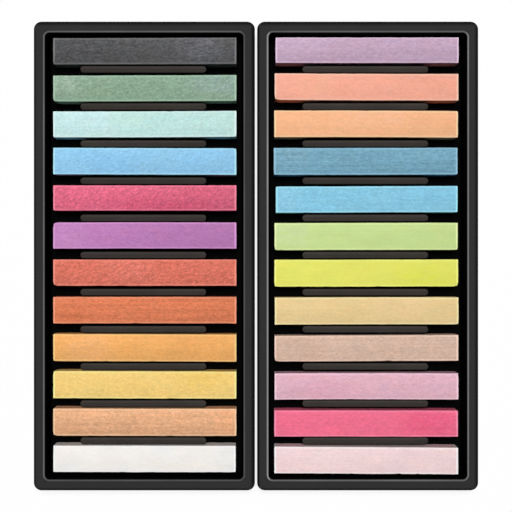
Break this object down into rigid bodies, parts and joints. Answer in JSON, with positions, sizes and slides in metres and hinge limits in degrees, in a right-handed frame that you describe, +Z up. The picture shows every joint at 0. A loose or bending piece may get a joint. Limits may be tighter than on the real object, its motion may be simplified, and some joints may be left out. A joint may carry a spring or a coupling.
{
  "type": "pastel drawer box",
  "caption": "Pair of shallow black drawers, side by side, with ribbed lift-out liners that hold square pastel sticks in single crosswise slots.",
  "frame": {"origin": "centre of the pair's footprint, on the surface that the drawers stand on", "axes": "+Z up, out of the drawers' open tops; +Y along the drawers' long sides, towards the slots that hold the charcoal and lilac sticks; +X from the left drawer to the right one, along the sticks"},
  "size_m": [0.1564, 0.165, 0.0145],
  "materials": {
    "shell_plastic": "satin",
    "liner_plastic": "satin",
    "charcoal_pastel": "matte",
    "sage_green_pastel": "matte",
    "pale_aqua_pastel": "matte",
    "sky_blue_pastel": "matte",
    "rose_red_pastel": "matte",
    "orchid_pastel": "matte",
    "brick_red_pastel": "matte",
    "terracotta_pastel": "matte",
    "amber_pastel": "matte",
    "straw_yellow_pastel": "matte",
    "tan_pastel": "matte",
    "white_pastel": "matte",
    "lilac_pastel": "matte",
    "salmon_pastel": "matte",
    "apricot_pastel": "matte",
    "steel_blue_pastel": "matte",
    "azure_pastel": "matte",
    "leaf_green_pastel": "matte",
    "lime_yellow_pastel": "matte",
    "sand_pastel": "matte",
    "taupe_pastel": "matte",
    "rose_pink_pastel": "matte",
    "hot_pink_pastel": "matte",
    "blush_pastel": "matte"
  },
  "bodies": {
    "left_drawer": {"left_drawer_shell": "shell_plastic"},
    "left_liner": {"left_drawer_liner": "liner_plastic"},
    "right_drawer": {"right_drawer_shell": "shell_plastic"},
    "right_liner": {"right_drawer_liner": "liner_plastic"},
    "charcoal_stick": {"charcoal_stick": "charcoal_pastel"},
    "sage_green_stick": {"sage_green_stick": "sage_green_pastel"},
    "pale_aqua_stick": {"pale_aqua_stick": "pale_aqua_pastel"},
    "sky_blue_stick": {"sky_blue_stick": "sky_blue_pastel"},
    "rose_red_stick": {"rose_red_stick": "rose_red_pastel"},
    "orchid_stick": {"orchid_stick": "orchid_pastel"},
    "brick_red_stick": {"brick_red_stick": "brick_red_pastel"},
    "terracotta_stick": {"terracotta_stick": "terracotta_pastel"},
    "amber_stick": {"amber_stick": "amber_pastel"},
    "straw_yellow_stick": {"straw_yellow_stick": "straw_yellow_pastel"},
    "tan_stick": {"tan_stick": "tan_pastel"},
    "white_stick": {"white_stick": "white_pastel"},
    "lilac_stick": {"lilac_stick": "lilac_pastel"},
    "salmon_stick": {"salmon_stick": "salmon_pastel"},
    "apricot_stick": {"apricot_stick": "apricot_pastel"},
    "steel_blue_stick": {"steel_blue_stick": "steel_blue_pastel"},
    "azure_stick": {"azure_stick": "azure_pastel"},
    "leaf_green_stick": {"leaf_green_stick": "leaf_green_pastel"},
    "lime_yellow_stick": {"lime_yellow_stick": "lime_yellow_pastel"},
    "sand_stick": {"sand_stick": "sand_pastel"},
    "taupe_stick": {"taupe_stick": "taupe_pastel"},
    "rose_pink_stick": {"rose_pink_stick": "rose_pink_pastel"},
    "hot_pink_stick": {"hot_pink_stick": "hot_pink_pastel"},
    "blush_stick": {"blush_stick": "blush_pastel"}
  },
  "joints": [
    {"name": "right_drawer_slide", "type": "slide", "parent": "left_drawer", "child": "right_drawer", "axis": [1, 0, 0], "range_m": [0, 0.08]},
    {"name": "left_liner_lift", "type": "slide", "parent": "left_drawer", "child": "left_liner", "axis": [0, 0, 1], "range_m": [0, 0.04]},
    {"name": "right_liner_lift", "type": "slide", "parent": "right_drawer", "child": "right_liner", "axis": [0, 0, 1], "range_m": [0, 0.04]},
    {"name": "charcoal_stick_lift", "type": "slide", "parent": "left_liner", "child": "charcoal_stick", "axis": [0, 0, 1], "range_m": [0, 0.03]},
    {"name": "sage_green_stick_lift", "type": "slide", "parent": "left_liner", "child": "sage_green_stick", "axis": [0, 0, 1], "range_m": [0, 0.03]},
    {"name": "pale_aqua_stick_lift", "type": "slide", "parent": "left_liner", "child": "pale_aqua_stick", "axis": [0, 0, 1], "range_m": [0, 0.03]},
    {"name": "sky_blue_stick_lift", "type": "slide", "parent": "left_liner", "child": "sky_blue_stick", "axis": [0, 0, 1], "range_m": [0, 0.03]},
    {"name": "rose_red_stick_lift", "type": "slide", "parent": "left_liner", "child": "rose_red_stick", "axis": [0, 0, 1], "range_m": [0, 0.03]},
    {"name": "orchid_stick_lift", "type": "slide", "parent": "left_liner", "child": "orchid_stick", "axis": [0, 0, 1], "range_m": [0, 0.03]},
    {"name": "brick_red_stick_lift", "type": "slide", "parent": "left_liner", "child": "brick_red_stick", "axis": [0, 0, 1], "range_m": [0, 0.03]},
    {"name": "terracotta_stick_lift", "type": "slide", "parent": "left_liner", "child": "terracotta_stick", "axis": [0, 0, 1], "range_m": [0, 0.03]},
    {"name": "amber_stick_lift", "type": "slide", "parent": "left_liner", "child": "amber_stick", "axis": [0, 0, 1], "range_m": [0, 0.03]},
    {"name": "straw_yellow_stick_lift", "type": "slide", "parent": "left_liner", "child": "straw_yellow_stick", "axis": [0, 0, 1], "range_m": [0, 0.03]},
    {"name": "tan_stick_lift", "type": "slide", "parent": "left_liner", "child": "tan_stick", "axis": [0, 0, 1], "range_m": [0, 0.03]},
    {"name": "white_stick_lift", "type": "slide", "parent": "left_liner", "child": "white_stick", "axis": [0, 0, 1], "range_m": [0, 0.03]},
    {"name": "lilac_stick_lift", "type": "slide", "parent": "right_liner", "child": "lilac_stick", "axis": [0, 0, 1], "range_m": [0, 0.03]},
    {"name": "salmon_stick_lift", "type": "slide", "parent": "right_liner", "child": "salmon_stick", "axis": [0, 0, 1], "range_m": [0, 0.03]},
    {"name": "apricot_stick_lift", "type": "slide", "parent": "right_liner", "child": "apricot_stick", "axis": [0, 0, 1], "range_m": [0, 0.03]},
    {"name": "steel_blue_stick_lift", "type": "slide", "parent": "right_liner", "child": "steel_blue_stick", "axis": [0, 0, 1], "range_m": [0, 0.03]},
    {"name": "azure_stick_lift", "type": "slide", "parent": "right_liner", "child": "azure_stick", "axis": [0, 0, 1], "range_m": [0, 0.03]},
    {"name": "leaf_green_stick_lift", "type": "slide", "parent": "right_liner", "child": "leaf_green_stick", "axis": [0, 0, 1], "range_m": [0, 0.03]},
    {"name": "lime_yellow_stick_lift", "type": "slide", "parent": "right_liner", "child": "lime_yellow_stick", "axis": [0, 0, 1], "range_m": [0, 0.03]},
    {"name": "sand_stick_lift", "type": "slide", "parent": "right_liner", "child": "sand_stick", "axis": [0, 0, 1], "range_m": [0, 0.03]},
    {"name": "taupe_stick_lift", "type": "slide", "parent": "right_liner", "child": "taupe_stick", "axis": [0, 0, 1], "range_m": [0, 0.03]},
    {"name": "rose_pink_stick_lift", "type": "slide", "parent": "right_liner", "child": "rose_pink_stick", "axis": [0, 0, 1], "range_m": [0, 0.03]},
    {"name": "hot_pink_stick_lift", "type": "slide", "parent": "right_liner", "child": "hot_pink_stick", "axis": [0, 0, 1], "range_m": [0, 0.03]},
    {"name": "blush_stick_lift", "type": "slide", "parent": "right_liner", "child": "blush_stick", "axis": [0, 0, 1], "range_m": [0, 0.03]}
  ]
}
